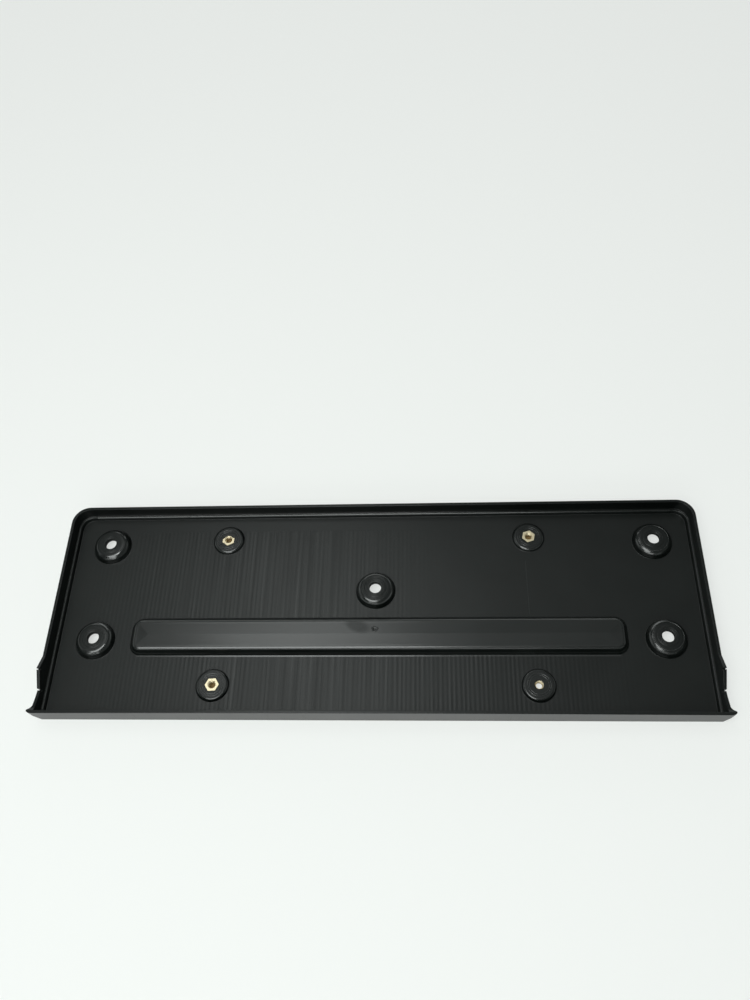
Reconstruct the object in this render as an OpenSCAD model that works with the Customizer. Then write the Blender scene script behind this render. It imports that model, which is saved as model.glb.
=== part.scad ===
/* [Tray] */
// Width across the tips of the bottom wall
tip_w = 440; // [420:1:470]
// Width across the side walls at their rims
tray_w = 434.4; // [415:0.2:436]
// Height of the plate holder, from bottom wall to top wall
tray_h = 149; // [140:1:180]
// Thickness of the panel
panel_t = 3.4; // [2.8:0.1:5]
// Thickness of the walls at their rims
wall_t = 1.9; // [1.2:0.1:2.6]
// Height of the top wall and of the side walls above the front face
rim_h = 15.3; // [12:0.1:17]
// Height of the bottom wall above the front face, at its middle
bottom_wall_h = 18.2; // [17:0.1:22]
// Height of the bottom wall above the front face, at its tips
tip_h = 16.4; // [15.6:0.1:17]
// Outer radius of the two top corners, at the rim
corner_r = 12; // [8:0.5:25]
// How far the outside of the top and side walls leans out between front face and rim
outer_draft = 1.3; // [0:0.1:2]
// How far their inside leans out between ledge and rim
inner_draft = 0.4; // [0:0.1:2]
// How far the outside of the bottom wall leans out
bottom_draft = 0.5; // [0.1:0.1:0.8]
// Length of the rounding at the bottom wall's tips
tip_round_l = 4; // [1:0.1:4]

/* [Ledge at the foot of the walls] */
// Width of the ledge
ledge_w = 1.6; // [1:0.1:3]
// Height of the ledge above the panel
ledge_h = 3; // [1.5:0.1:5]
// How far the riser under the ledge leans
ledge_draft = 0.45; // [0:0.05:1]
// Rounding of the ledge's edge
ledge_round_r = 0.9; // [0.2:0.1:0.9]

/* [Side wall lugs] */
// Height of each lug's peak above the front face
lug_h = 19.6; // [18:0.1:24]
// Height of the tongue where it starts, beside the peak
tongue_h = 19; // [17:0.1:24]
// Height of the tongue where it ends
tongue_low_h = 13.8; // [11:0.1:16]
// Height of the wall beyond the tongue, at its lowest
lug_low_h = 12.7; // [10:0.1:15]
// Distance from the holder's middle down to the start of the ramp
ramp_start_y = 36.5; // [30:0.5:38]
// Distance from the holder's middle down to the peak
lug_peak_y = 46; // [42:0.2:48]
// Distance from the holder's middle down to the end of the tongue
tongue_end_y = 58.6; // [55:0.2:60]
// Length of the low part of the wall beyond the tongue
lug_low_l = 4.6; // [2:0.1:6]
// Width of the two slits beside the tongue
slit_w = 0.9; // [0.6:0.1:2]
// Depth of the two slits
slit_d = 2.6; // [2:0.1:6]
// Radius of the outward sweep from side wall to tip
sweep_r = 6; // [3:0.5:9]

/* [Mount bosses] */
// Spacing of the corner screw holes along the width
mount_dx = 377; // [340:1:385]
// Spacing of the corner screw holes along the height
mount_dy = 70; // [60:1:80]
// Height of the screw hole pattern's middle above the holder's middle
mount_y = 13.4; // [5:0.1:18]
// Diameter of a mount boss at the panel
mount_boss_d = 26.6; // [22:0.1:30]
// Height of a mount boss above the panel
mount_boss_h = 5.7; // [4:0.1:8]
// Rounding of a mount boss's top edge
mount_round_r = 4.4; // [1:0.1:4.6]
// How far a mount boss's side leans in
mount_lean = 0.7; // [0:0.1:2]
// Diameter of the screw holes
screw_hole_d = 8; // [5:0.1:9]
// Chamfer round a screw hole
screw_chamfer = 0.2; // [0.1:0.1:0.8]
// Thickness of the cup wall round a screw seat
cup_t = 2.6; // [1.5:0.1:3]
// How far a cup's side leans in
cup_draft = 1.2; // [0:0.1:2]
// Diameter of the shallow ring round a screw hole
ring_d = 14; // [11:0.1:16]
// Height of the shallow ring
ring_h = 0.2; // [0.1:0.05:0.8]

/* [Plate inserts] */
// Spacing of the plate bolts along the width
insert_dx = 210; // [180:1:240]
// Spacing of the plate bolts along the height
insert_dy = 105; // [95:1:110]
// Diameter of an insert boss at the panel
insert_boss_d = 22; // [16:0.1:26]
// Height of an insert boss above the panel
insert_boss_h = 2.2; // [1.5:0.1:6]
// Rounding of an insert boss's top edge
insert_round_r = 1.6; // [0.5:0.1:2]
// How far an insert boss's side leans in
insert_lean = 0.5; // [0:0.1:2]
// Distance across the flats of a brass insert
insert_af = 8; // [7:0.1:12]
// Bore of a brass insert, for an M5 thread
insert_bore_d = 4.6; // [3:0.1:6]
// Depth of the countersink at the top of a brass insert
insert_sink = 0.4; // [0.1:0.1:1]
// Thickness of plastic under an insert, at the front face
insert_seat_t = 1.2; // [0.8:0.1:2]
// Clearance hole for the plate bolt
bolt_hole_d = 5.6; // [5:0.1:6.6]
// Thickness of the plastic skin over the covered insert
skin_t = 0.5; // [0.3:0.1:1]
// Gap between a brass insert and its pocket
insert_gap = 0.05; // [0.02:0.01:0.2]

/* [Stiffening bar] */
// Length of the bar at the panel
bar_l = 328.6; // [250:0.2:350]
// Width of the bar at the panel
bar_w = 26.2; // [20:0.2:32]
// Height of the bar above the panel
bar_h = 5.1; // [3:0.1:8]
// Distance from the holder's middle down to the bar's middle
bar_y = 19.1; // [17:0.1:24]
// Corner radius of the bar at the panel
bar_r = 8; // [7.5:0.5:12]
// How far in the bar's sides and their rounded top edge reach
bar_draft = 4.7; // [3:0.1:5]
// Rounding of the bar's top edge
bar_round_r = 2.6; // [1:0.1:3]
// Height of the shallow ridge along the bar's top
ridge_h = 0.3; // [0.1:0.05:0.6]
// Flat border round the ridge
ridge_inset = 1; // [1:0.1:3]
// Thickness of the bar's shell
bar_t = 2.4; // [1.5:0.1:3]

/* [Hidden] */
PLASTIC = "#2c2e2d";
BRASS = "#d9b96c";
ROUND_FN = 96;
BORE_FN = 48;
HEX_FN = 6;
ARC_STEPS = 6;
RIM_STEPS = 20;
EPS = 0.01;
far = 2 * lug_h;
side_x = tray_w / 2;
top_y = tray_h / 2;
bottom_y = -tray_h / 2;
corner_x = side_x - corner_r;
corner_y = top_y - corner_r;
side_len = corner_y - bottom_y;
insert_top_z = panel_t + insert_boss_h;
insert_corner_r = insert_af / sqrt(3);
insert_places = [for (y = [1, -1], x = [-1, 1]) [x * insert_dx / 2, y * insert_dy / 2]];
insert_turns = [24, 78, 3, 40];
mount_corners = [for (y = [1, -1], x = [-1, 1]) [x * mount_dx / 2, mount_y + y * mount_dy / 2]];
mount_places = concat(mount_corners, [[0, mount_y]]);
mount_top_z = panel_t + mount_boss_h;

// Quarter circle of points in a profile, from angle a to angle b
function arc(cx, cy, r, a, b) =
    [for (i = [0 : ARC_STEPS]) let (t = a + (b - a) * i / ARC_STEPS) [cx + r * cos(t), cy + r * sin(t)]];

// Ledge's rounded edge, its inner side at x, from a degrees round to b
function ledge_edge(x, side, a, b) =
    [for (t = [a : (b - a) / 3 : b])
        [x + ledge_round_r * (cos(t) - side), panel_t + ledge_h + ledge_round_r * (sin(t) - 1)]];

// Wall in section: distance from the corner centre across, height up
function wall_section(h) =
    let (out_lean = outer_draft / rim_h, in_lean = inner_draft / (rim_h - panel_t - ledge_h),
         foot = corner_r - wall_t - inner_draft - ledge_w - ledge_draft)
    concat([[foot - 1, 0], [corner_r - outer_draft, 0], [corner_r, rim_h]],
           h > rim_h ? [[corner_r + out_lean * (h - rim_h), h],
                        [corner_r - wall_t + in_lean * (h - rim_h), h]] : [],
           [[corner_r - wall_t, rim_h], [corner_r - wall_t - inner_draft, panel_t + ledge_h]],
           ledge_edge(foot + ledge_draft, -1, 90, 180),
           [[foot, panel_t], [foot - 1, panel_t]]);

// Side wall's top edge, from the ramp down to the tip
function rim_profile() =
    [[top_y + 1, -1], [top_y + 1, rim_h], [-ramp_start_y, rim_h],
     [-lug_peak_y, lug_h], [-lug_peak_y - slit_w, tongue_h],
     [-tongue_end_y + slit_w, tongue_low_h], [-tongue_end_y, lug_low_h],
     [-tongue_end_y - lug_low_l, lug_low_h + 0.7], [bottom_y + 2 * wall_t, rim_h],
     [bottom_y + wall_t, tip_h], [bottom_y - 1, tip_h], [bottom_y - 1, -1]];

// Bottom wall's arched rim, from tip to tip
function rim_arch() =
    [for (i = [0 : RIM_STEPS]) let (t = 1 - 2 * i / RIM_STEPS)
        [t * tip_w / 2, bottom_wall_h - (bottom_wall_h - tip_h) * t * t]];

// Boss in section, with its rounded top edge
function boss_section(r, h, round_r, lean) =
    concat([[0, -1], [r, -1], [r, 0]], arc(r - lean - round_r, h - round_r, round_r, 8, 90), [[0, h]]);

module on_both_sides() {
    children();
    mirror([1, 0, 0]) children();
}

module panel() {
    low_x = side_x - outer_draft - wall_t / 2;
    low_r = corner_r - outer_draft - wall_t / 2;
    linear_extrude(panel_t) {
        translate([-low_x, bottom_y + wall_t / 2]) square([2 * low_x, side_len - wall_t / 2]);
        translate([-corner_x, 0]) square([2 * corner_x, corner_y + low_r]);
        on_both_sides() translate([corner_x, corner_y]) circle(low_r, $fn = ROUND_FN);
    }
}

module top_wall() {
    section = wall_section(rim_h);
    translate([-corner_x, corner_y, 0]) rotate([90, 0, 90]) linear_extrude(2 * corner_x) polygon(section);
    on_both_sides() translate([corner_x, corner_y, 0])
        rotate_extrude(angle = 90, $fn = ROUND_FN) polygon(section);
}

module side_wall() {
    difference() {
        intersection() {
            translate([corner_x, corner_y, 0]) rotate([90, 0, 0])
                linear_extrude(side_len - wall_t / 2) polygon(wall_section(lug_h + 1));
            translate([corner_x - 1, 0, 0]) rotate([90, 0, 90])
                linear_extrude(corner_r + 5) polygon(rim_profile());
        }
        slits();
    }
}

module slits() {
    for (s = [[-lug_peak_y - slit_w, lug_h], [-tongue_end_y, lug_low_h]])
        translate([side_x - 2 * wall_t, s[0], s[1] - slit_d]) cube([4 * wall_t, slit_w, far]);
}

module sweep() {
    start_x = side_x - (wall_t + outer_draft) / 2;
    intersection() {
        difference() {
            translate([start_x, bottom_y + wall_t / 2, 0]) cube([tip_w, sweep_r + wall_t, far]);
            translate([side_x + sweep_r - outer_draft / 2, bottom_y + wall_t + sweep_r, -1])
                cylinder(r = sweep_r, h = far, $fn = ROUND_FN);
        }
        translate([corner_x - 1, 0, 0]) rotate([90, 0, 90])
            linear_extrude(corner_r + 9) polygon(rim_profile());
        translate([0, bottom_y + far, 0]) rotate([90, 0, 0]) linear_extrude(far) bottom_wall_outline();
        linear_extrude(far) tip_outline();
    }
}

module bottom_wall_outline() {
    low_x = side_x - outer_draft;
    polygon(concat([[-low_x, 0], [low_x, 0]], rim_arch()));
}

// Rounded tip of the bottom wall from above, from angle a to angle b, its middle at x
function tip_round(x, a, b) =
    let (w = 0.9 * wall_t)
    [for (i = [0 : ARC_STEPS]) let (t = a + (b - a) * i / ARC_STEPS)
        [x + tip_round_l * cos(t), bottom_y + w + w * sin(t)]];

// Bottom wall's outline from above, its tips rounded on the outside
module tip_outline() {
    round_x = tip_w / 2 - tip_round_l;
    polygon(concat([[tip_w / 2, bottom_y + far], [-tip_w / 2, bottom_y + far]],
                   tip_round(-round_x, 180, 270), tip_round(round_x, 270, 360)));
}

// Bottom wall in section: distance from the holder's middle across, height up
module bottom_wall_section() {
    top_z = bottom_wall_h + 1;
    lean = bottom_draft / bottom_wall_h;
    polygon([[bottom_y + bottom_draft, 0], [bottom_y + wall_t, 0],
             [bottom_y + wall_t, top_z], [bottom_y - lean, top_z]]);
}

module bottom_ledge_section() {
    start_y = bottom_y + wall_t - EPS;
    edge_y = start_y + ledge_w;
    polygon(concat([[start_y, panel_t - 1], [start_y, panel_t + ledge_h]],
                   ledge_edge(edge_y, 1, 90, 0),
                   [[edge_y + ledge_draft, panel_t], [edge_y + ledge_draft, panel_t - 1]]));
}

module bottom_wall() {
    ledge_x = side_x - wall_t;
    intersection() {
        translate([0, bottom_y + far / 2, 0]) rotate([90, 0, 0]) linear_extrude(far) bottom_wall_outline();
        translate([-tip_w, 0, 0]) rotate([90, 0, 90]) linear_extrude(2 * tip_w) bottom_wall_section();
        linear_extrude(far) tip_outline();
    }
    translate([-ledge_x, 0, 0]) rotate([90, 0, 90]) linear_extrude(2 * ledge_x) bottom_ledge_section();
}

module boss(r, h, round_r, lean) {
    translate([0, 0, panel_t]) rotate_extrude($fn = ROUND_FN) polygon(boss_section(r, h, round_r, lean));
}

// Cutter for a 45 degree chamfer round the top of a hole
module chamfer(hole_d, depth) {
    cylinder(d1 = hole_d, d2 = hole_d + 4 * depth, h = 2 * depth, $fn = BORE_FN);
}

module mount_boss() {
    boss(mount_boss_d / 2, mount_boss_h, mount_round_r, mount_lean);
    translate([0, 0, mount_top_z - EPS]) cylinder(d = ring_d, h = ring_h + EPS, $fn = ROUND_FN);
}

module mount_cup() {
    cup_r = mount_boss_d / 2 - cup_t;
    translate([0, 0, -1]) cylinder(d = screw_hole_d, h = far, $fn = BORE_FN);
    translate([0, 0, mount_top_z + ring_h - screw_chamfer]) chamfer(screw_hole_d, screw_chamfer);
    translate([0, 0, -1])
        cylinder(r1 = cup_r, r2 = cup_r - cup_draft, h = mount_top_z - cup_t + 1, $fn = ROUND_FN);
}

// Half of the bar in section: how far in from its edge, and how high
function bar_section() =
    concat([[0, -1], [0, 0]], arc(bar_draft, bar_h - bar_round_r, bar_round_r, 150, 90));

// Block with rounded corners, its sides shaped by a section
module shaped_block(l, w, r, section) {
    top_z = section[len(section) - 1][1];
    base_z = section[0][1];
    for (x = [-1, 1], y = [-1, 1])
        translate([x * (l / 2 - r), y * (w / 2 - r), 0]) rotate_extrude($fn = ROUND_FN)
            polygon(concat([[0, base_z]], [for (s = section) [r - s[0], s[1]]], [[0, top_z]]));
    rotate([90, 0, 90]) linear_extrude(l - 2 * r, center = true) half_sections(w / 2, section);
    rotate([90, 0, 0]) linear_extrude(w - 2 * r, center = true) half_sections(l / 2, section);
}

module half_sections(half, section) {
    n = len(section);
    polygon(concat([for (s = section) [half - s[0], s[1]]],
                   [for (i = [1 : n]) [section[n - i][0] - half, section[n - i][1]]]));
}

module bar() {
    translate([0, -bar_y, panel_t]) {
        shaped_block(bar_l, bar_w, bar_r, bar_section());
        ridge(bar_l / 2 - bar_draft - ridge_inset, bar_w / 2 - bar_draft - ridge_inset);
    }
}

// Shallow hipped ridge along the bar's top
module ridge(half_l, half_w) {
    translate([0, 0, bar_h]) intersection() {
        rotate([90, 0, 90]) linear_extrude(2 * half_l, center = true)
            polygon([[-half_w, -1], [half_w, -1], [half_w, 0], [0, ridge_h], [-half_w, 0]]);
        rotate([90, 0, 0]) linear_extrude(2 * half_w, center = true)
            polygon([[-half_l, -1], [half_l, -1], [half_l, 0], [half_l - half_w, ridge_h],
                     [half_w - half_l, ridge_h], [-half_l, 0]]);
    }
}

module bar_pocket() {
    translate([0, -bar_y, panel_t - bar_t])
        shaped_block(bar_l - 2 * bar_t, bar_w - 2 * bar_t, bar_r - bar_t,
                     concat([[0, -panel_t]], bar_section()));
}

function insert_length(i) = insert_top_z - insert_seat_t - (i == 3 ? skin_t + insert_gap : 0);

module insert_pocket(i) {
    pocket_l = insert_length(i) + insert_gap + (i == 3 ? insert_gap : 1);
    translate([insert_places[i][0], insert_places[i][1], 0]) {
        translate([0, 0, -1]) cylinder(d = bolt_hole_d, h = far, $fn = BORE_FN);
        rotate(insert_turns[i]) translate([0, 0, insert_seat_t - insert_gap])
            cylinder(r = insert_corner_r + insert_gap * 2 / sqrt(3), h = pocket_l, $fn = HEX_FN);
    }
}

module holder() {
    color(PLASTIC) difference() {
        union() {
            panel();
            top_wall();
            on_both_sides() side_wall();
            on_both_sides() sweep();
            bottom_wall();
            for (p = mount_places) translate([p[0], p[1], 0]) mount_boss();
            for (p = insert_places) translate([p[0], p[1], 0])
                boss(insert_boss_d / 2, insert_boss_h, insert_round_r, insert_lean);
            bar();
        }
        for (p = mount_places) translate([p[0], p[1], 0]) mount_cup();
        for (i = [0 : 3]) insert_pocket(i);
        bar_pocket();
    }
}

module insert(i) {
    length = insert_length(i);
    translate([insert_places[i][0], insert_places[i][1], insert_seat_t]) rotate(insert_turns[i])
        color(BRASS) difference() {
            cylinder(r = insert_corner_r, h = length, $fn = HEX_FN);
            translate([0, 0, -1]) cylinder(d = insert_bore_d, h = length + 2, $fn = BORE_FN);
            translate([0, 0, length - insert_sink]) chamfer(insert_bore_d, insert_sink);
        }
}

module insert_top_left() { insert(0); }
module insert_top_right() { insert(1); }
module insert_bottom_left() { insert(2); }
module insert_bottom_right() { insert(3); }

holder();
insert_top_left();
insert_top_right();
insert_bottom_left();
insert_bottom_right();
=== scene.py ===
import math

import bpy
from mathutils import Euler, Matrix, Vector


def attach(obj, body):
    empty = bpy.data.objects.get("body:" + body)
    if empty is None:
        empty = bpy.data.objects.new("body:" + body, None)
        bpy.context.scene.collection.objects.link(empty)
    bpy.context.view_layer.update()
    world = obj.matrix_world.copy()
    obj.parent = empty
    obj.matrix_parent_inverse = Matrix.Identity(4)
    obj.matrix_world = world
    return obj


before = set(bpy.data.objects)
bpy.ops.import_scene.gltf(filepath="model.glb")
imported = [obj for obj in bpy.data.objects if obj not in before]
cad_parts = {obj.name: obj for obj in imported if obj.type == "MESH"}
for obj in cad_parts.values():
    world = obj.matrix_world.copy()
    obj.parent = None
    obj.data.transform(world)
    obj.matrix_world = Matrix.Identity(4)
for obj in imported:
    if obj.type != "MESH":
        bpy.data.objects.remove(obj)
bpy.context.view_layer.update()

# The camera stands above the bottom wall and a little to the right. It looks
# down at the car side of the holder, as the photograph was taken.
CAMERA_PLACE = (0.0407, -0.2189, 0.5410)
CAMERA_TURN = (29.43, 3.85, 1.24)
CAMERA_LENS = 30.95
CAMERA_SENSOR = 36.0

lens = bpy.data.cameras.new("camera")
lens.sensor_fit = "AUTO"
lens.sensor_width = CAMERA_SENSOR
lens.lens = CAMERA_LENS
camera = bpy.data.objects.new("camera", lens)
camera.location = CAMERA_PLACE
camera.rotation_euler = Euler([math.radians(angle) for angle in CAMERA_TURN])
bpy.context.collection.objects.link(camera)
bpy.context.scene.camera = camera

# The table top is a plain pale sheet. What the camera and the reflections see
# of it glows a little, so it stays pale while the holder still shades it.
TABLE_SIZE = 8.0
TABLE_COLOUR = (0.62, 0.63, 0.62, 1)
TABLE_SEEN_COLOUR = (0.26, 0.27, 0.26, 1)
TABLE_GLOW_COLOUR = (0.98, 1.0, 0.98, 1)
TABLE_GLOW = 0.61
BOLT_X = 0.105
BOLT_Y = 0.0525
# Painted shade on the table under three bolt holes: a dimmer, brass-brown glow.
UNDER_BOLT_R = 0.0058
UNDER_BOLT_SHADE_COLOUR = (0.20, 0.135, 0.06, 1)
UNDER_BOLT_SHADE_GLOW = 0.25


def new_material(name):
    material = bpy.data.materials.new(name)
    material.use_nodes = True
    material.node_tree.nodes.clear()
    return material, material.node_tree.nodes, material.node_tree.links


def math_node(tree, operation, a, b=None, c=None, clamped=False):
    node = tree.nodes.new("ShaderNodeMath")
    node.operation = operation
    node.use_clamp = clamped
    for socket, value in zip(node.inputs, (a, b, c)):
        if value is None:
            continue
        if isinstance(value, (int, float)):
            socket.default_value = value
        else:
            tree.links.new(value, socket)
    return node.outputs[0]


def all_of(tree, mask, *others):
    for other in others:
        mask = math_node(tree, "MULTIPLY", mask, other)
    return mask


def any_of(tree, mask, *others):
    for other in others:
        mask = math_node(tree, "MAXIMUM", mask, other)
    return mask


def sum_of_squares(tree, a, b):
    return math_node(tree, "ADD", math_node(tree, "MULTIPLY", a, a), math_node(tree, "MULTIPLY", b, b))


def colour_between(tree, share, first_colour, second_colour):
    node = tree.nodes.new("ShaderNodeMix")
    node.data_type = "RGBA"
    node.clamp_factor = False
    node.inputs[6].default_value = first_colour
    node.inputs[7].default_value = second_colour
    tree.links.new(share, node.inputs[0])
    return node.outputs[2]


bpy.ops.mesh.primitive_plane_add(size=TABLE_SIZE)
table = bpy.context.object
table.name = "table_top"
table_paint, nodes, links = new_material("pale table top")
tree = table_paint.node_tree
plain = nodes.new("ShaderNodeBsdfDiffuse")
plain.inputs["Color"].default_value = TABLE_COLOUR
seen = nodes.new("ShaderNodeBsdfDiffuse")
glow = nodes.new("ShaderNodeEmission")
shaded_glow = nodes.new("ShaderNodeAddShader")
rays = nodes.new("ShaderNodeLightPath")
mix = nodes.new("ShaderNodeMixShader")
out = nodes.new("ShaderNodeOutputMaterial")
by_eye = any_of(tree, rays.outputs["Is Camera Ray"], rays.outputs["Is Glossy Ray"],
                rays.outputs["Is Transmission Ray"])
links.new(seen.outputs[0], shaded_glow.inputs[0])
links.new(glow.outputs[0], shaded_glow.inputs[1])
links.new(by_eye, mix.inputs["Fac"])
links.new(plain.outputs[0], mix.inputs[1])
links.new(shaded_glow.outputs[0], mix.inputs[2])
links.new(mix.outputs[0], out.inputs["Surface"])

# Painted shade: under the narrow bolt holes the table's glow is turned down and tinted brown, standing in
# for the little light that gets under the holder through them, with a painted brass-tinted bounce. The last
# one, at the bottom right, stays pale.
spot = nodes.new("ShaderNodeTexCoord")
spot_axes = nodes.new("ShaderNodeSeparateXYZ")
links.new(spot.outputs["Object"], spot_axes.inputs[0])
spot_x, spot_y = spot_axes.outputs[0], spot_axes.outputs[1]
off_x = math_node(tree, "SUBTRACT", math_node(tree, "ABSOLUTE", spot_x), BOLT_X)
off_y = math_node(tree, "SUBTRACT", math_node(tree, "ABSOLUTE", spot_y), BOLT_Y)
off_bolts = math_node(tree, "GREATER_THAN", sum_of_squares(tree, off_x, off_y), UNDER_BOLT_R ** 2)
pale_corner = all_of(tree, math_node(tree, "GREATER_THAN", spot_x, 0.0),
                     math_node(tree, "LESS_THAN", spot_y, 0.0))
open_floor = any_of(tree, off_bolts, pale_corner)
links.new(math_node(tree, "MULTIPLY_ADD", open_floor, TABLE_GLOW - UNDER_BOLT_SHADE_GLOW, UNDER_BOLT_SHADE_GLOW),
          glow.inputs["Strength"])
for shader, open_colour in ((seen, TABLE_SEEN_COLOUR), (glow, TABLE_GLOW_COLOUR)):
    links.new(colour_between(tree, open_floor, UNDER_BOLT_SHADE_COLOUR, open_colour), shader.inputs["Color"])
table.data.materials.append(table_paint)

# Soft studio light: a room that is pale low down and dim above, a wide panel
# overhead that the flat faces mirror, lamps in front for the rounded edges.
ROOM_COLOUR = (0.93, 1.0, 0.98, 1)
ROOM_STRENGTH = 0.16
LOW_ROOM_STRENGTH = 0.72
LOW_ROOM_TOP = 0.38
LOW_ROOM_FADE = 0.16
LAMP_COLOUR = (0.96, 1.0, 0.985)
LAMPS = (
    # name, place, aim, width, depth, power in watts
    ("ceiling", (-0.20, 1.00, 2.40), (-0.20, 1.00, 0.0), 2.80, 1.60, 4.3),
    ("overhead_panel", (-0.30, 0.54, 1.50), (0.0, 0.0, 0.0), 0.50, 0.45, 3.1),
    ("front_window", (-0.29, -0.48, 0.95), (-0.29, -0.48, 0.0), 0.62, 0.76, 7.3),
    ("front_lamp", (-0.07, -0.11, 0.95), (-0.07, -0.11, 0.0), 0.24, 0.18, 1.6),
    ("front_strip", (-0.40, -1.60, 0.95), (0.0, 0.0, 0.0), 1.60, 0.50, 9.0),
    ("side_panel", (-1.90, 0.20, 1.00), (0.0, 0.0, 0.0), 1.40, 1.20, 1.8),
    ("back_panel", (-0.20, 2.20, 0.70), (0.0, 0.0, 0.0), 2.40, 1.10, 8.0),
)

world = bpy.data.worlds.new("studio")
world.use_nodes = True
tree = world.node_tree
background = tree.nodes["Background"]
background.inputs["Color"].default_value = ROOM_COLOUR
up = tree.nodes.new("ShaderNodeTexCoord")
up_axes = tree.nodes.new("ShaderNodeSeparateXYZ")
tree.links.new(up.outputs["Object"], up_axes.inputs[0])
below_top = math_node(tree, "SUBTRACT", LOW_ROOM_TOP, up_axes.outputs[2])
low_room = math_node(tree, "MULTIPLY", below_top, 1 / LOW_ROOM_FADE, clamped=True)
room_light = math_node(tree, "MULTIPLY_ADD", low_room, LOW_ROOM_STRENGTH - ROOM_STRENGTH, ROOM_STRENGTH)
tree.links.new(room_light, background.inputs["Strength"])
bpy.context.scene.world = world
bpy.context.scene.view_settings.view_transform = "Standard"
for name, place, aim, width, depth, power in LAMPS:
    lamp_data = bpy.data.lights.new(name, "AREA")
    lamp_data.shape = "RECTANGLE"
    lamp_data.size = width
    lamp_data.size_y = depth
    lamp_data.energy = power
    lamp_data.color = LAMP_COLOUR
    lamp = bpy.data.objects.new(name, lamp_data)
    lamp.location = place
    lamp.rotation_euler = (Vector(aim) - Vector(place)).to_track_quat("-Z", "Y").to_euler()
    bpy.context.collection.objects.link(lamp)

# The holder is one moulding of black polypropylene. Its mould was milled, so
# the panel carries fine lines from wall to wall, and the bar's top is smoother.
PLASTIC_COLOUR = (0.0030, 0.0041, 0.0036, 1)
PLASTIC_PALE_COLOUR = (0.0076, 0.0091, 0.0084, 1)
PLASTIC_SPECULAR = 0.30

# Heights and places of the moulded forms, as the solids have them.
PANEL_TOP = 0.0034
PANEL_BAND = 0.0003
ABOVE_PANEL = 0.0036
INNER_X = 0.2030
INNER_Y = 0.0722
LEDGE_TOP = 0.0066
RAISED_TOP = 0.0098
BAR_MIDDLE_Y = -0.0191
BAR_HALF_X = 0.1645
BAR_HALF_Y = 0.0132
BAR_SIDE_BOTTOM = 0.0054
BAR_FOOT_TOP = 0.0071
BAR_FLAT = 0.00848
SCREW_X = 0.1885
SCREW_MIDDLE_Y = 0.0134
SCREW_HALF_Y = 0.035
SCREW_HOLE_R = 0.0041
SCREW_BOSS_TOP = 0.0091
SCREW_TOP_BAND = 0.0007
DULL_TOP_R = 0.0094
BOSS_WALL_TOP = 0.0066
BOSS_FOOT_R = 0.0145
INSERT_BOSS_TOP = 0.0056
INSERT_TOP_BAND = 0.00005

# Milled lines: pitch and height, where they end and how softly they fade, and
# how much they wander and vary along X and Y.
LINE_PITCH = 0.0029
LINE_DEPTH = 0.000032
LINES_START_X = -0.225
LINES_END_X = 0.055
LOW_LINES_END_X = 0.190
LINES_END_Y = 0.0595
LEFT_FADE = 8.0
RIGHT_FADE = 9.0
LINE_WANDER = 3.0
WANDER_SCALE = (140.0, 6.0, 1.0)
FINE_SCALE = (420.0, 5.0, 1.0)
FINE_HEIGHT = 1.4
UNEVEN_SCALE = (95.0, 22.0, 1.0)
UNEVEN_HEIGHT = 1.6
UNEVEN_BASE = -0.20

# The seam of the mould, the dull patch beside the gate mark, and the bright
# line along the bar's foot.
SEAM_X = 0.1023
SEAM_LEAN = -0.0103
SEAM_HALF_X = 0.00022
SEAM_MIDDLE_Y = 0.0155
SEAM_HALF_Y = 0.0194
SEAM_HEIGHT = 2.0
PATCH_X = -0.0112
PATCH_Y = -0.0136
PATCH_HALF_X = 0.0085
PATCH_HALF_Y = 0.0060
PATCH_LEAN = 0.7
PATCH_SHARPNESS = 1.5
FOOT_LINE_Y = 0.01355
FOOT_LINE_HALF_Y = 0.00045
FOOT_LINE_HALF_X = 0.1585

# Roughness of each surface, then what each mark adds to it.
SMOOTH_ROUGHNESS = 0.30
PANEL_ROUGHNESS = 0.36
BOSS_TOP_ROUGHNESS = 0.35
EDGE_ROUGHNESS = 0.19
MOTTLE_ADDS = 0.08
LINES_ADD = -0.35
SCRATCHES_ADD = 0.06
PATCH_ADDS = 0.06
HOLES_ADD = 0.6

# Tone runs from the plastic's colour at 0 to its pale colour at 1.
LINES_TONE = 2.0
SEAM_TONE = 2.0
# Painted shade: how much deeper black the low walls, feet and far wall are made.
PAINTED_SHADE_TONE = -0.85

COAT_ROUGHNESS = 0.17
COAT_BOTTOM = 0.0046
EDGE_COAT = 0.9
BAR_TOP_COAT = 0.27
BAR_SLOPE_COAT = 0.13
PATCH_COAT = -0.16

GRAIN_SIZE = 0.0004
GRAIN_DEPTH = 0.000006
FLOW_SCALE = 26.0
EDGE_ROUNDING = 0.0006
MARK_LEVEL = 0.72
MARK_SHARPNESS = 9.0
PLASTIC_MARKS = (("Length", 0.025), ("Width", 0.0003), ("Turn", 0.5), ("Amount", 0.06))


def new_group(name, inputs, outputs):
    group = bpy.data.node_groups.new(name, "ShaderNodeTree")
    for label, kind, value in inputs:
        socket = group.interface.new_socket(name=label, in_out="INPUT", socket_type=kind)
        socket.default_value = value
    for label, kind in outputs:
        group.interface.new_socket(name=label, in_out="OUTPUT", socket_type=kind)
    return group, group.nodes.new("NodeGroupInput"), group.nodes.new("NodeGroupOutput")


def noise(tree, vector, scale, detail):
    node = tree.nodes.new("ShaderNodeTexNoise")
    node.inputs["Scale"].default_value = scale
    node.inputs["Detail"].default_value = detail
    tree.links.new(vector, node.inputs["Vector"])
    return node.outputs["Fac"]


def streaky_noise(tree, vector, scale, detail):
    node = tree.nodes.new("ShaderNodeMapping")
    node.inputs["Scale"].default_value = scale
    tree.links.new(vector, node.inputs["Vector"])
    return noise(tree, node.outputs[0], 1.0, detail)


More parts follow.
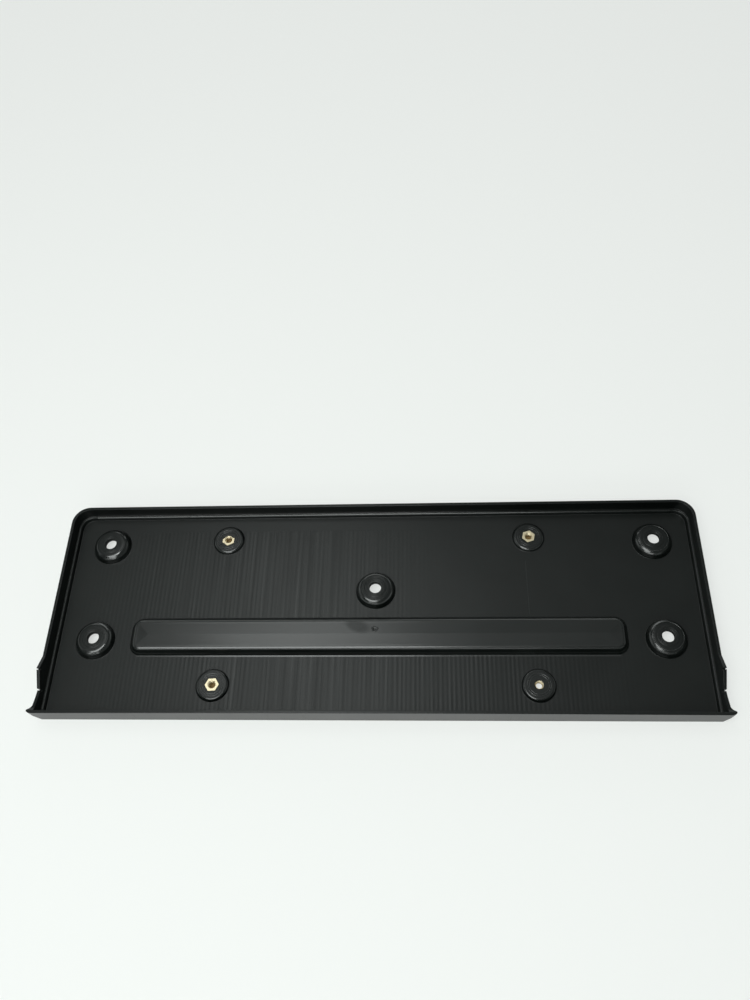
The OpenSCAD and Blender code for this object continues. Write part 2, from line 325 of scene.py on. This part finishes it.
# Handling marks: a few long fine scratches, as a mask from 0 to 1.
marks_group, given, result = new_group(
    "handling marks",
    [("Length", "NodeSocketFloat", 0.02), ("Width", "NodeSocketFloat", 0.0002),
     ("Turn", "NodeSocketFloat", 0.4), ("Amount", "NodeSocketFloat", 0.1)],
    [("Marks", "NodeSocketFloat")])
place = marks_group.nodes.new("ShaderNodeTexCoord")
turned = marks_group.nodes.new("ShaderNodeVectorRotate")
turned.rotation_type = "Z_AXIS"
marks_group.links.new(place.outputs["Object"], turned.inputs["Vector"])
marks_group.links.new(given.outputs["Turn"], turned.inputs["Angle"])
stretch = marks_group.nodes.new("ShaderNodeCombineXYZ")
for axis, label in (("X", "Length"), ("Y", "Width"), ("Z", "Length")):
    marks_group.links.new(math_node(marks_group, "DIVIDE", 1.0, given.outputs[label]), stretch.inputs[axis])
scaled = marks_group.nodes.new("ShaderNodeVectorMath")
scaled.operation = "MULTIPLY"
marks_group.links.new(turned.outputs[0], scaled.inputs[0])
marks_group.links.new(stretch.outputs[0], scaled.inputs[1])
streaks = noise(marks_group, scaled.outputs[0], 1.0, 1.0)
cut = math_node(marks_group, "SUBTRACT", 1.0, given.outputs["Amount"])
over = math_node(marks_group, "SUBTRACT", streaks, math_node(marks_group, "MULTIPLY", cut, MARK_LEVEL))
marks_group.links.new(math_node(marks_group, "MULTIPLY", over, MARK_SHARPNESS, clamped=True),
                      result.inputs["Marks"])


def handling_marks(tree, settings):
    node = tree.nodes.new("ShaderNodeGroup")
    node.node_tree = marks_group
    for label, value in settings:
        node.inputs[label].default_value = value
    return node.outputs["Marks"]


plastic, nodes, links = new_material("black moulded plastic")
tree = plastic.node_tree
place = nodes.new("ShaderNodeTexCoord").outputs["Object"]
axes = nodes.new("ShaderNodeSeparateXYZ")
links.new(place, axes.inputs[0])
x, y, z = axes.outputs
side_x = math_node(tree, "ABSOLUTE", x)
side_y = math_node(tree, "ABSOLUTE", y)
on_panel = all_of(tree, math_node(tree, "LESS_THAN", z, PANEL_TOP + PANEL_BAND),
                  math_node(tree, "GREATER_THAN", z, PANEL_TOP - PANEL_BAND))
below_bar = math_node(tree, "LESS_THAN", y, BAR_MIDDLE_Y)

# The milled lines are wavy ridges along Y, only on the panel itself. They are
# worn away towards the right, sooner above the bar than below it.
wander = streaky_noise(tree, place, WANDER_SCALE, 2.0)
phase = math_node(tree, "MULTIPLY", wander, LINE_WANDER)
waves = math_node(tree, "SINE", math_node(tree, "MULTIPLY_ADD", x, 2 * math.pi / LINE_PITCH, phase))
fine = streaky_noise(tree, place, FINE_SCALE, 3.0)
uneven = streaky_noise(tree, place, UNEVEN_SCALE, 2.0)
wave_height = math_node(tree, "MULTIPLY_ADD", uneven, UNEVEN_HEIGHT, UNEVEN_BASE)
lines = math_node(tree, "MULTIPLY_ADD", fine, FINE_HEIGHT, math_node(tree, "MULTIPLY", waves, wave_height))
end_x = math_node(tree, "MULTIPLY_ADD", below_bar, LOW_LINES_END_X - LINES_END_X, LINES_END_X)
right_fade = math_node(tree, "MULTIPLY", math_node(tree, "SUBTRACT", end_x, x), RIGHT_FADE, clamped=True)
left_fade = math_node(tree, "MULTIPLY", math_node(tree, "SUBTRACT", x, LINES_START_X), LEFT_FADE,
                      clamped=True)
milled = all_of(tree, on_panel, math_node(tree, "LESS_THAN", y, LINES_END_Y), right_fade, left_fade)
line_height = math_node(tree, "MULTIPLY", lines, milled)

# A fine line stands up where two parts of the mould met.
seam_x = math_node(tree, "MULTIPLY_ADD", y, SEAM_LEAN, SEAM_X)
from_seam = math_node(tree, "ABSOLUTE", math_node(tree, "SUBTRACT", y, SEAM_MIDDLE_Y))
seam = all_of(tree, math_node(tree, "COMPARE", x, seam_x, SEAM_HALF_X),
              math_node(tree, "LESS_THAN", from_seam, SEAM_HALF_Y), on_panel)
line_height = math_node(tree, "MULTIPLY_ADD", seam, SEAM_HEIGHT, line_height)

# The bar is smoother than the rest, with a dull patch beside its gate mark.
beside_bar = math_node(tree, "ABSOLUTE", math_node(tree, "SUBTRACT", y, BAR_MIDDLE_Y))
on_bar = all_of(tree, math_node(tree, "LESS_THAN", beside_bar, BAR_HALF_Y),
                math_node(tree, "LESS_THAN", side_x, BAR_HALF_X),
                math_node(tree, "GREATER_THAN", z, BAR_SIDE_BOTTOM))
bar_top = all_of(tree, math_node(tree, "GREATER_THAN", z, BAR_FLAT), on_bar)
bar_foot = all_of(tree, math_node(tree, "LESS_THAN", z, BAR_FOOT_TOP), on_bar)
patch_up = math_node(tree, "SUBTRACT", y, PATCH_Y)
patch_along = math_node(tree, "MULTIPLY_ADD", patch_up, PATCH_LEAN, x)
patch_x = math_node(tree, "MULTIPLY", math_node(tree, "SUBTRACT", patch_along, PATCH_X), 1 / PATCH_HALF_X)
patch_y = math_node(tree, "MULTIPLY", patch_up, 1 / PATCH_HALF_Y)
inside_patch = math_node(tree, "SUBTRACT", 1.0, sum_of_squares(tree, patch_x, patch_y))
patch = math_node(tree, "MULTIPLY", inside_patch, PATCH_SHARPNESS, clamped=True)

# The square of the distance to the nearest screw hole tells the holes and
# their bosses apart from the rest. The mould's pins were turned, so the boss
# tops are left rougher.
from_middle_y = math_node(tree, "SUBTRACT", y, SCREW_MIDDLE_Y)
corner_x = math_node(tree, "SUBTRACT", side_x, SCREW_X)
corner_y = math_node(tree, "SUBTRACT", math_node(tree, "ABSOLUTE", from_middle_y), SCREW_HALF_Y)
screw_r2 = math_node(tree, "MINIMUM", sum_of_squares(tree, corner_x, corner_y),
                     sum_of_squares(tree, x, from_middle_y))
in_hole = math_node(tree, "LESS_THAN", screw_r2, SCREW_HOLE_R ** 2)
screw_boss_top = all_of(tree, math_node(tree, "COMPARE", z, SCREW_BOSS_TOP, SCREW_TOP_BAND),
                        math_node(tree, "LESS_THAN", screw_r2, DULL_TOP_R ** 2))
insert_boss_top = math_node(tree, "COMPARE", z, INSERT_BOSS_TOP, INSERT_TOP_BAND)
boss_top = any_of(tree, screw_boss_top, insert_boss_top)

# The rounded edges of the bosses, the bar and the ledge are polished.
raised = all_of(tree, math_node(tree, "GREATER_THAN", z, COAT_BOTTOM),
                math_node(tree, "LESS_THAN", z, RAISED_TOP),
                math_node(tree, "LESS_THAN", side_x, INNER_X),
                math_node(tree, "LESS_THAN", side_y, INNER_Y))
edges = all_of(tree, raised, math_node(tree, "SUBTRACT", 1.0, any_of(tree, boss_top, in_hole)))

# Moulded grain all over, on top of the lines and of softly rounded edges.
soft_edge = nodes.new("ShaderNodeBevel")
soft_edge.samples = 8
soft_edge.inputs["Radius"].default_value = EDGE_ROUNDING
line_bump = nodes.new("ShaderNodeBump")
line_bump.inputs["Distance"].default_value = LINE_DEPTH
links.new(soft_edge.outputs[0], line_bump.inputs["Normal"])
links.new(line_height, line_bump.inputs["Height"])
grain_bump = nodes.new("ShaderNodeBump")
grain_bump.inputs["Distance"].default_value = GRAIN_DEPTH
links.new(line_bump.outputs[0], grain_bump.inputs["Normal"])
links.new(noise(tree, place, 1 / GRAIN_SIZE, 2.0), grain_bump.inputs["Height"])

# Roughness, with mottling where the plastic flowed.
flow = noise(tree, place, FLOW_SCALE, 3.0)
milled_shade = all_of(tree, math_node(tree, "SUBTRACT", fine, 0.5), milled)
roughness = SMOOTH_ROUGHNESS
for mask, change in (
        (on_panel, PANEL_ROUGHNESS - SMOOTH_ROUGHNESS),
        (boss_top, BOSS_TOP_ROUGHNESS - SMOOTH_ROUGHNESS),
        (all_of(tree, edges, math_node(tree, "SUBTRACT", 1.0, on_bar)), EDGE_ROUGHNESS - SMOOTH_ROUGHNESS),
        (math_node(tree, "SUBTRACT", flow, 0.5), MOTTLE_ADDS),
        (milled_shade, LINES_ADD),
        (handling_marks(tree, PLASTIC_MARKS), SCRATCHES_ADD),
        (all_of(tree, patch, on_bar), PATCH_ADDS),
        (in_hole, HOLES_ADD)):
    roughness = math_node(tree, "MULTIPLY_ADD", mask, change, roughness)

# Painted shade: the low walls, the boss and bar feet and the far wall's inner face are coloured deeper
# black, standing in for the shade that falls there.
above_panel = math_node(tree, "GREATER_THAN", z, ABOVE_PANEL)
low_wall = all_of(tree, above_panel, math_node(tree, "LESS_THAN", z, COAT_BOTTOM))
boss_wall = all_of(tree, above_panel, math_node(tree, "LESS_THAN", z, BOSS_WALL_TOP),
                   math_node(tree, "LESS_THAN", screw_r2, BOSS_FOOT_R ** 2))
far_wall = all_of(tree, math_node(tree, "GREATER_THAN", y, INNER_Y),
                  math_node(tree, "GREATER_THAN", z, LEDGE_TOP))
tone = flow
for mask, change in (
        (milled_shade, LINES_TONE),
        (seam, SEAM_TONE),
        (any_of(tree, low_wall, boss_wall, bar_foot, far_wall), PAINTED_SHADE_TONE)):
    tone = math_node(tree, "MULTIPLY_ADD", mask, change, tone)

# The coat is the polish of the edges, of the bar's top and of its foot line.
bar_coat = math_node(tree, "MULTIPLY_ADD", below_bar, BAR_SLOPE_COAT, BAR_TOP_COAT)
bar_coat = math_node(tree, "MULTIPLY_ADD", patch, PATCH_COAT, bar_coat)
foot_line = all_of(tree, math_node(tree, "COMPARE", beside_bar, FOOT_LINE_Y, FOOT_LINE_HALF_Y),
                   below_bar, on_panel, math_node(tree, "LESS_THAN", side_x, FOOT_LINE_HALF_X))
off_plain_bar = math_node(tree, "SUBTRACT", 1.0, any_of(tree, bar_top, bar_foot))
polished = math_node(tree, "ADD", all_of(tree, edges, off_plain_bar), foot_line)
coat = math_node(tree, "MULTIPLY_ADD", polished, EDGE_COAT, all_of(tree, bar_top, bar_coat))
shader = nodes.new("ShaderNodeBsdfPrincipled")
shader.inputs["Specular IOR Level"].default_value = PLASTIC_SPECULAR
shader.inputs["Coat Roughness"].default_value = COAT_ROUGHNESS
out = nodes.new("ShaderNodeOutputMaterial")
links.new(colour_between(tree, tone, PLASTIC_COLOUR, PLASTIC_PALE_COLOUR), shader.inputs["Base Color"])
links.new(roughness, shader.inputs["Roughness"])
links.new(coat, shader.inputs["Coat Weight"])
links.new(grain_bump.outputs[0], shader.inputs["Normal"])
links.new(shader.outputs[0], out.inputs["Surface"])

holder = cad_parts["holder"]
holder.data.materials.clear()
holder.data.materials.append(plastic)

# Four brass inserts for the plate bolts, cut from hexagon bar, faced on a
# lathe and moulded into their bosses. The faces keep faint turning marks.
BRASS_COLOUR = (0.76, 0.67, 0.48, 1)
BRASS_DULL_COLOUR = (0.44, 0.36, 0.21, 1)
BRASS_ROUGHNESS = 0.42
BRASS_MARKS_ADD = 0.12
BRASS_MARKS = (("Length", 0.004), ("Width", 0.0001), ("Turn", 1.1), ("Amount", 0.2))
TARNISH_SCALE = 700.0
TARNISH_SHARE = 0.45

brass, nodes, links = new_material("turned brass")
tree = brass.node_tree
place = nodes.new("ShaderNodeTexCoord").outputs["Object"]
dull = math_node(tree, "MULTIPLY", noise(tree, place, TARNISH_SCALE, 2.0), TARNISH_SHARE)
roughness = math_node(tree, "MULTIPLY_ADD", handling_marks(tree, BRASS_MARKS), BRASS_MARKS_ADD,
                      BRASS_ROUGHNESS)
shader = nodes.new("ShaderNodeBsdfPrincipled")
shader.inputs["Metallic"].default_value = 1.0
out = nodes.new("ShaderNodeOutputMaterial")
links.new(colour_between(tree, dull, BRASS_COLOUR, BRASS_DULL_COLOUR), shader.inputs["Base Color"])
links.new(roughness, shader.inputs["Roughness"])
links.new(shader.outputs[0], out.inputs["Surface"])

for name in ("insert_top_left", "insert_top_right", "insert_bottom_left", "insert_bottom_right"):
    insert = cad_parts[name]
    insert.data.materials.clear()
    insert.data.materials.append(brass)

# Fine rings stand on the bosses' tops, where the mould's pins were turned on a
# lathe. They are part of the moulding, and sit round each screw hole and insert.
# Rounded collars, moulded too, stiffen three screw holes inside the hollow bosses.
TOP_SCREW_Y = SCREW_MIDDLE_Y + SCREW_HALF_Y
LOW_SCREW_Y = SCREW_MIDDLE_Y - SCREW_HALF_Y
CORNER_SCREWS = ((-SCREW_X, TOP_SCREW_Y), (SCREW_X, TOP_SCREW_Y),
                 (-SCREW_X, LOW_SCREW_Y), (SCREW_X, LOW_SCREW_Y))
LEFT_SCREWS = CORNER_SCREWS[0::2]
RIGHT_SCREWS = CORNER_SCREWS[1::2]
MIDDLE_SCREW = ((0.0, SCREW_MIDDLE_Y),)
INSERT_PLACES = ((-BOLT_X, BOLT_Y), (BOLT_X, BOLT_Y), (-BOLT_X, -BOLT_Y), (BOLT_X, -BOLT_Y))
RING_SETS = (
    # name, places, innermost radius, spacing, count, height of the wire's middle, wire radius
    ("middle_boss_rings", MIDDLE_SCREW, 0.00530, 0.00095, 2, 0.00920, 0.00038),
    ("middle_boss_outer_rings", MIDDLE_SCREW, 0.00745, 0.00095, 2, 0.00900, 0.00036),
    ("corner_boss_rings", CORNER_SCREWS, 0.00490, 0.00105, 2, 0.00908, 0.00034),
    ("right_boss_outer_rings", RIGHT_SCREWS, 0.00970, 0.0, 1, 0.00885, 0.00031),
    ("screw_hole_collars", LEFT_SCREWS + MIDDLE_SCREW, 0.00535, 0.0, 1, 0.00580, 0.00130),
    ("insert_boss_rings", INSERT_PLACES, 0.00620, 0.00125, 2, 0.00540, 0.00032),
)
RING_CORNERS = 96
WIRE_SIDES = 8


def geometry_group(name, inputs):
    group = bpy.data.node_groups.new(name, "GeometryNodeTree")
    group.interface.new_socket(name="Geometry", in_out="INPUT", socket_type="NodeSocketGeometry")
    for label, kind in inputs:
        group.interface.new_socket(name=label, in_out="INPUT", socket_type=kind)
    group.interface.new_socket(name="Geometry", in_out="OUTPUT", socket_type="NodeSocketGeometry")
    return group, group.nodes.new("NodeGroupInput"), group.nodes.new("NodeGroupOutput")


def put_on_points(group, given, result, shape):
    nodes, links = group.nodes, group.links
    placed = nodes.new("GeometryNodeInstanceOnPoints")
    joined = nodes.new("GeometryNodeRealizeInstances")
    painted = nodes.new("GeometryNodeSetMaterial")
    links.new(given.outputs["Geometry"], placed.inputs["Points"])
    links.new(shape, placed.inputs["Instance"])
    links.new(placed.outputs[0], joined.inputs[0])
    links.new(joined.outputs[0], painted.inputs["Geometry"])
    links.new(given.outputs["Material"], painted.inputs["Material"])
    links.new(painted.outputs[0], result.inputs["Geometry"])


def piece_on_points(name, group, points, values):
    mesh = bpy.data.meshes.new(name)
    mesh.from_pydata(points, [], [])
    raw = bpy.data.objects.new(name, mesh)
    bpy.context.collection.objects.link(raw)
    modifier = raw.modifiers.new(name, "NODES")
    modifier.node_group = group
    for item in group.interface.items_tree:
        if item.in_out == "INPUT" and item.name in values:
            modifier[item.identifier] = values[item.name]
    evaluated = raw.evaluated_get(bpy.context.evaluated_depsgraph_get())
    made = bpy.data.meshes.new_from_object(evaluated)
    raw.modifiers.remove(modifier)
    raw.data = made
    return raw


rings_group, given, result = geometry_group("turned rings", [
    ("Inner Radius", "NodeSocketFloat"), ("Spacing", "NodeSocketFloat"), ("Count", "NodeSocketInt"),
    ("Wire Radius", "NodeSocketFloat"), ("Corners", "NodeSocketInt"), ("Material", "NodeSocketMaterial")])
nodes, links = rings_group.nodes, rings_group.links
starts = nodes.new("GeometryNodePoints")
unit_circle = nodes.new("GeometryNodeCurvePrimitiveCircle")
unit_circle.inputs["Radius"].default_value = 1.0
number = nodes.new("GeometryNodeInputIndex")
ring_radius = math_node(rings_group, "MULTIPLY_ADD", number.outputs[0], given.outputs["Spacing"],
                        given.outputs["Inner Radius"])
rings = nodes.new("GeometryNodeInstanceOnPoints")
loose_rings = nodes.new("GeometryNodeRealizeInstances")
wire = nodes.new("GeometryNodeCurvePrimitiveCircle")
wire.inputs["Resolution"].default_value = WIRE_SIDES
tubes = nodes.new("GeometryNodeCurveToMesh")
links.new(given.outputs["Count"], starts.inputs["Count"])
links.new(given.outputs["Corners"], unit_circle.inputs["Resolution"])
links.new(starts.outputs[0], rings.inputs["Points"])
links.new(unit_circle.outputs[0], rings.inputs["Instance"])
links.new(ring_radius, rings.inputs["Scale"])
links.new(rings.outputs[0], loose_rings.inputs[0])
links.new(given.outputs["Wire Radius"], wire.inputs["Radius"])
links.new(loose_rings.outputs[0], tubes.inputs["Curve"])
links.new(wire.outputs[0], tubes.inputs["Profile Curve"])
put_on_points(rings_group, given, result, tubes.outputs[0])

for name, places, inner, spacing, count, height, wire_radius in RING_SETS:
    values = {"Inner Radius": inner, "Spacing": spacing, "Count": count, "Wire Radius": wire_radius,
              "Corners": RING_CORNERS, "Material": plastic}
    ring_piece = piece_on_points(name, rings_group, [(px, py, height) for px, py in places], values)
    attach(ring_piece, "root")

# Each insert is tapped M5 for its plate bolt. The thread's ridge winds down
# the bore, and is cut from the same brass as the insert.
THREAD_PITCH = 0.0008
THREAD_TURNS = 3.8
THREAD_RADIUS = 0.00236
THREAD_STEPS = 40
RIDGE_RADIUS = 0.00032
RIDGE_SIDES = 6
THREAD_STARTS = (0.0020, 0.0020, 0.0020, 0.0015)

thread_group, given, result = geometry_group("tapped thread", [
    ("Radius", "NodeSocketFloat"), ("Pitch", "NodeSocketFloat"), ("Turns", "NodeSocketFloat"),
    ("Ridge Radius", "NodeSocketFloat"), ("Material", "NodeSocketMaterial")])
nodes, links = thread_group.nodes, thread_group.links
helix = nodes.new("GeometryNodeCurveSpiral")
helix.inputs["Resolution"].default_value = THREAD_STEPS
ridge = nodes.new("GeometryNodeCurvePrimitiveCircle")
ridge.inputs["Resolution"].default_value = RIDGE_SIDES
wound = nodes.new("GeometryNodeCurveToMesh")
wound.inputs["Fill Caps"].default_value = True
links.new(given.outputs["Radius"], helix.inputs["Start Radius"])
links.new(given.outputs["Radius"], helix.inputs["End Radius"])
links.new(given.outputs["Turns"], helix.inputs["Rotations"])
links.new(math_node(thread_group, "MULTIPLY", given.outputs["Pitch"], given.outputs["Turns"]),
          helix.inputs["Height"])
links.new(given.outputs["Ridge Radius"], ridge.inputs["Radius"])
links.new(helix.outputs[0], wound.inputs["Curve"])
links.new(ridge.outputs[0], wound.inputs["Profile Curve"])
put_on_points(thread_group, given, result, wound.outputs[0])

threads = piece_on_points(
    "insert_threads", thread_group,
    [(px, py, start) for (px, py), start in zip(INSERT_PLACES, THREAD_STARTS)],
    {"Radius": THREAD_RADIUS, "Pitch": THREAD_PITCH, "Turns": THREAD_TURNS,
     "Ridge Radius": RIDGE_RADIUS, "Material": brass})
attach(threads, "root")

# The gate mark on the bar is where the plastic ran in: a low ring with the
# broken stub of the runner in its middle, part of the same moulding.
GATE_PLACE = (0.0003, -0.0161, 0.00868)
GATE_PROFILE = ((0.0, 0.00002), (0.00045, 0.00003), (0.00090, 0.00009), (0.00130, 0.00017),
                (0.00160, 0.00019), (0.00185, 0.00015), (0.00225, -0.00006))
GATE_CORNERS = 32
GATE_LOBES = (
    # lobes round the mark, share of the radius, turn
    (3, 0.10, 0.6),
    (5, 0.06, 0.0),
)


def plastic_solid(name, points, faces):
    mesh = bpy.data.meshes.new(name)
    mesh.from_pydata(points, [], faces)
    mesh.materials.append(plastic)
    solid = bpy.data.objects.new(name, mesh)
    bpy.context.collection.objects.link(solid)
    return solid


gate_points = [(GATE_PLACE[0], GATE_PLACE[1], GATE_PLACE[2] + GATE_PROFILE[0][1])]
for radius, height in GATE_PROFILE[1:]:
    for corner in range(GATE_CORNERS):
        turn = 2 * math.pi * corner / GATE_CORNERS
        ragged = 1.0 + sum(share * math.sin(lobes * turn + start) for lobes, share, start in GATE_LOBES)
        gate_points.append((GATE_PLACE[0] + radius * ragged * math.cos(turn),
                            GATE_PLACE[1] + radius * ragged * math.sin(turn), GATE_PLACE[2] + height))
gate_faces = [(0, 1 + corner, 1 + (corner + 1) % GATE_CORNERS) for corner in range(GATE_CORNERS)]
for row in range(len(GATE_PROFILE) - 2):
    for corner in range(GATE_CORNERS):
        here = 1 + row * GATE_CORNERS + corner
        following = 1 + row * GATE_CORNERS + (corner + 1) % GATE_CORNERS
        gate_faces.append((here, here + GATE_CORNERS, following + GATE_CORNERS, following))
last_row = 1 + (len(GATE_PROFILE) - 2) * GATE_CORNERS
gate_faces.append(tuple(last_row + corner for corner in reversed(range(GATE_CORNERS))))
gate = plastic_solid("gate_mark", gate_points, gate_faces)
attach(gate, "root")

# At the top left insert a thin flash of plastic has crept over the brass. It is
# part of the moulding, and hides the hexagon's upper side.
FLASH_X, FLASH_Y = INSERT_PLACES[0]
FLASH_BOTTOM = 0.00545
FLASH_TOP = 0.00564
FLASH_OUTLINE = ((-0.0052, -0.0003), (-0.0040, 0.0004), (-0.0031, 0.0012), (-0.0020, 0.0021),
                 (-0.0008, 0.0027), (0.0005, 0.0029), (0.0018, 0.0024), (0.0027, 0.0015),
                 (0.0039, 0.0010), (0.0052, 0.0006), (0.0050, 0.0030), (0.0042, 0.0045),
                 (0.0022, 0.0055), (-0.0003, 0.0058), (-0.0027, 0.0053), (-0.0044, 0.0039),
                 (-0.0053, 0.0022))
FLASH_TOP_SHARE = 0.97

flash_count = len(FLASH_OUTLINE)
middle_x, middle_y = (sum(point[axis] for point in FLASH_OUTLINE) / flash_count for axis in (0, 1))
flash_points = [(FLASH_X + px, FLASH_Y + py, FLASH_BOTTOM) for px, py in FLASH_OUTLINE]
for px, py in FLASH_OUTLINE:
    flash_points.append((FLASH_X + middle_x + (px - middle_x) * FLASH_TOP_SHARE,
                         FLASH_Y + middle_y + (py - middle_y) * FLASH_TOP_SHARE, FLASH_TOP))
flash_faces = [tuple(reversed(range(flash_count))), tuple(range(flash_count, 2 * flash_count))]
for corner in range(flash_count):
    following = (corner + 1) % flash_count
    flash_faces.append((corner, following, flash_count + following, flash_count + corner))
flash = plastic_solid("insert_flash", flash_points, flash_faces)
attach(flash, "root")
